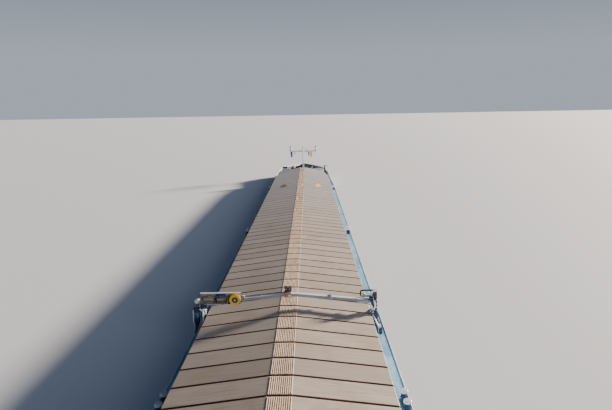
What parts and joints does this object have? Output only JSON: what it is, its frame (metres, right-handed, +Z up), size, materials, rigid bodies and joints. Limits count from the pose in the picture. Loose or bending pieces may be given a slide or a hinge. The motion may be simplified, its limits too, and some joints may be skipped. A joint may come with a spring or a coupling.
{
  "type": "river cargo barge, one-tenth scale model",
  "caption": "Self-propelled inland cargo barge at one tenth: flat-bottomed hull, gabled hatch covers over one hold, a travelling hatch crane, folding bow mast, lifting wheelhouse.",
  "frame": {"origin": "on the flat bottom, under the middle of the length and of the beam", "axes": "+X towards the bow, +Y to port, +Z up"},
  "size_m": [10.5, 0.95, 0.7593],
  "materials": {
    "hull_paint": "semi-gloss dark blue hull paint",
    "deck_blue": "matt light blue deck paint",
    "cover_aluminium": "weathered bare sheet",
    "white_paint": "gloss white paint",
    "grey_paint": "semi-gloss grey paint",
    "black_steel": "satin black paint",
    "yellow_paint": "gloss yellow paint",
    "bronze": "machined bronze",
    "engine_iron": "painted casting"
  },
  "bodies": {
    "hull": {"hull_bow": "hull_paint", "hull_stern": "hull_paint", "hold_floor": "hull_paint", "wing_tank_port": "hull_paint", "wing_tank_starboard": "hull_paint", "coaming_port": "deck_blue", "coaming_starboard": "deck_blue", "coaming_fore": "white_paint", "coaming_aft": "deck_blue", "gunwale_port": "white_paint", "gunwale_starboard": "white_paint", "bow_bulwark_port": "white_paint", "bow_bulwark_starboard": "white_paint", "windlass": "grey_paint", "fore_hatch": "white_paint", "mast_base": "white_paint", "anchor_port": "black_steel", "anchor_starboard": "black_steel", "deckhouse": "white_paint", "deckhouse_roof": "grey_paint", "column_guide": "grey_paint", "stern_bulwark": "white_paint", "stern_winch": "grey_paint", "stern_anchor": "black_steel", "flagstaff": "white_paint", "engine": "engine_iron", "nozzle": "hull_paint"},
    "fore_hatch_lid": {"fore_hatch_lid": "white_paint"},
    "mast": {"mast": "white_paint"},
    "crane_legs": {"crane_leg_port": "white_paint", "crane_leg_starboard": "white_paint"},
    "crane_beam": {"crane_beam": "grey_paint", "crane_control_box": "black_steel", "crane_power_pack": "grey_paint", "crane_guard": "black_steel"},
    "crane_reel": {"crane_reel": "yellow_paint"},
    "deckhouse_door": {"deckhouse_door": "deck_blue"},
    "wheelhouse": {"wheelhouse_walls": "white_paint", "wheelhouse_roof": "white_paint", "wheelhouse_column": "grey_paint", "wheelhouse_console": "grey_paint", "wheelhouse_chair": "black_steel"},
    "wheelhouse_door_port": {"wheelhouse_door_port": "white_paint"},
    "wheelhouse_door_starboard": {"wheelhouse_door_starboard": "white_paint"},
    "radar_scanner": {"radar_scanner": "white_paint"},
    "propeller": {"propeller": "bronze"},
    "rudder_port": {"rudder_port": "hull_paint"},
    "rudder_starboard": {"rudder_starboard": "hull_paint"},
    "hatch_covers_1": {"hatch_covers_1": "cover_aluminium"},
    "hatch_covers_2": {"hatch_covers_2": "cover_aluminium"},
    "hatch_covers_3": {"hatch_covers_3": "cover_aluminium"},
    "hatch_covers_4": {"hatch_covers_4": "cover_aluminium"},
    "hatch_covers_5": {"hatch_covers_5": "cover_aluminium"},
    "hatch_covers_6": {"hatch_covers_6": "cover_aluminium"},
    "hatch_covers_7": {"hatch_covers_7": "cover_aluminium"},
    "crane_wheel_port_aft": {"crane_wheel_port_aft": "black_steel"},
    "crane_wheel_port_fore": {"crane_wheel_port_fore": "black_steel"},
    "crane_wheel_starboard_aft": {"crane_wheel_starboard_aft": "black_steel"},
    "crane_wheel_starboard_fore": {"crane_wheel_starboard_fore": "black_steel"}
  },
  "joints": [
    {"name": "hatch_covers_1_lift", "type": "slide", "parent": "hull", "child": "hatch_covers_1", "axis": [0, 0, 1], "range_m": [0, 0.02]},
    {"name": "hatch_covers_2_lift", "type": "slide", "parent": "hull", "child": "hatch_covers_2", "axis": [0, 0, 1], "range_m": [0, 0.02]},
    {"name": "hatch_covers_3_lift", "type": "slide", "parent": "hull", "child": "hatch_covers_3", "axis": [0, 0, 1], "range_m": [0, 0.02]},
    {"name": "hatch_covers_4_lift", "type": "slide", "parent": "hull", "child": "hatch_covers_4", "axis": [0, 0, 1], "range_m": [0, 0.02]},
    {"name": "hatch_covers_5_lift", "type": "slide", "parent": "hull", "child": "hatch_covers_5", "axis": [0, 0, 1], "range_m": [0, 0.02]},
    {"name": "hatch_covers_6_lift", "type": "slide", "parent": "hull", "child": "hatch_covers_6", "axis": [0, 0, 1], "range_m": [0, 0.02]},
    {"name": "hatch_covers_7_lift", "type": "slide", "parent": "hull", "child": "hatch_covers_7", "axis": [0, 0, 1], "range_m": [0, 0.02]},
    {"name": "fore_hatch_lid_hinge", "type": "hinge", "parent": "hull", "child": "fore_hatch_lid", "pos_m": [4.142, 0, 0.3723], "axis": [0, -1, 0], "range_deg": [0, 100]},
    {"name": "mast_fold", "type": "hinge", "parent": "hull", "child": "mast", "pos_m": [5.02, 0, 0.395], "axis": [0, -1, 0], "range_deg": [0, 88]},
    {"name": "crane_travel", "type": "slide", "parent": "hull", "child": "crane_legs", "axis": [1, 0, 0], "range_m": [-1.11, 5.8]},
    {"name": "crane_hoist", "type": "slide", "parent": "crane_legs", "child": "crane_beam", "axis": [0, 0, 1], "range_m": [0, 0.06]},
    {"name": "crane_reel_spin", "type": "hinge", "parent": "crane_beam", "child": "crane_reel", "pos_m": [-2.53, 0.25, 0.51], "axis": [1, 0, 0], "continuous": true},
    {"name": "crane_wheel_port_aft_roll", "type": "hinge", "parent": "crane_legs", "child": "crane_wheel_port_aft", "pos_m": [-2.49, 0.412, 0.3323], "axis": [0, 1, 0], "continuous": true},
    {"name": "crane_wheel_port_fore_roll", "type": "hinge", "parent": "crane_legs", "child": "crane_wheel_port_fore", "pos_m": [-2.24, 0.412, 0.3323], "axis": [0, 1, 0], "continuous": true},
    {"name": "crane_wheel_starboard_aft_roll", "type": "hinge", "parent": "crane_legs", "child": "crane_wheel_starboard_aft", "pos_m": [-2.49, -0.412, 0.3323], "axis": [0, 1, 0], "continuous": true},
    {"name": "crane_wheel_starboard_fore_roll", "type": "hinge", "parent": "crane_legs", "child": "crane_wheel_starboard_fore", "pos_m": [-2.24, -0.412, 0.3323], "axis": [0, 1, 0], "continuous": true},
    {"name": "deckhouse_door_hinge", "type": "hinge", "parent": "hull", "child": "deckhouse_door", "pos_m": [-4.9055, -0.04, 0.4], "axis": [0, 0, -1], "range_deg": [0, 110]},
    {"name": "wheelhouse_lift", "type": "slide", "parent": "hull", "child": "wheelhouse", "axis": [0, 0, 1], "range_m": [0, 0.22]},
    {"name": "wheelhouse_door_port_hinge", "type": "hinge", "parent": "wheelhouse", "child": "wheelhouse_door_port", "pos_m": [-3.929, 0.19, 0.53], "axis": [0, 0, -1], "range_deg": [0, 100]},
    {"name": "wheelhouse_door_starboard_hinge", "type": "hinge", "parent": "wheelhouse", "child": "wheelhouse_door_starboard", "pos_m": [-3.929, -0.19, 0.53], "axis": [0, 0, 1], "range_deg": [0, 100]},
    {"name": "radar_scanner_spin", "type": "hinge", "parent": "wheelhouse", "child": "radar_scanner", "pos_m": [-3.96, 0, 0.74], "axis": [0, 0, 1], "continuous": true},
    {"name": "propeller_spin", "type": "hinge", "parent": "hull", "child": "propeller", "pos_m": [-4.77, 0, 0.1], "axis": [1, 0, 0], "continuous": true},
    {"name": "rudder_port_turn", "type": "hinge", "parent": "hull", "child": "rudder_port", "pos_m": [-4.96, 0.05, 0.1], "axis": [0, 0, 1], "range_deg": [-40, 40]},
    {"name": "rudder_starboard_turn", "type": "hinge", "parent": "hull", "child": "rudder_starboard", "pos_m": [-4.96, -0.05, 0.1], "axis": [0, 0, 1], "range_deg": [-40, 40]}
  ],
  "couplings": [
    {"joint": "rudder_starboard_turn", "follows": "rudder_port_turn", "ratio": 1}
  ]
}
